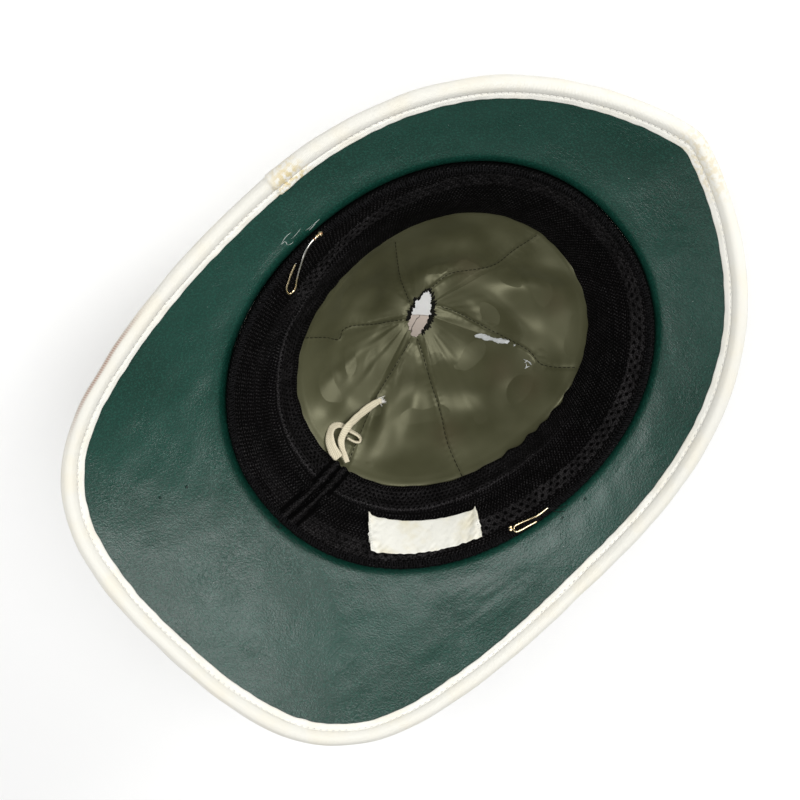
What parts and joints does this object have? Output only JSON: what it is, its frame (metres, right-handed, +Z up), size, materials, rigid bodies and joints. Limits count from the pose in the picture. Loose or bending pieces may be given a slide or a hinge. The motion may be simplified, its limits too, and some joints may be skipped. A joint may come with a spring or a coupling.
{
  "type": "pith helmet",
  "caption": "Cloth-covered pith sun helmet lying crown-down, with a long rear brim, green facing, bound rim, slanting mesh headband and sagging satin lining with a drawstring.",
  "frame": {"origin": "on the surface that the hat lies on, under the middle of its outline; the flat of the ventilator button is just in front of it", "axes": "+Z up, out of the head opening; +Y towards the front peak; +X to the right of somebody who looks into the opening with the peak at the top"},
  "size_m": [0.2456, 0.3371, 0.1804],
  "materials": {
    "white_cloth": "matte cotton drill over pith",
    "binding_cloth": "ribbed cotton binding, slightly soiled",
    "green_leathercloth": "pebbled coated cloth with a soft sheen",
    "black_mesh": "matte knitted mesh",
    "olive_satin": "satin weave with sheen",
    "label_cloth": "fine woven tape",
    "cream_cotton": "braided cotton",
    "brass_wire": "bright drawn wire, partly tarnished"
  },
  "bodies": {
    "root": {"shell": "white_cloth", "vent_cap": "white_cloth", "hatband": "white_cloth", "brim_facing": "green_leathercloth", "rim_binding": "binding_cloth", "headband": "black_mesh", "lining": "olive_satin", "label": "label_cloth", "tie_cord_left": "cream_cotton", "tie_cord_right": "cream_cotton", "tie_knot": "cream_cotton", "hook_left": "brass_wire", "hook_right": "brass_wire"}
  },
  "joints": []
}
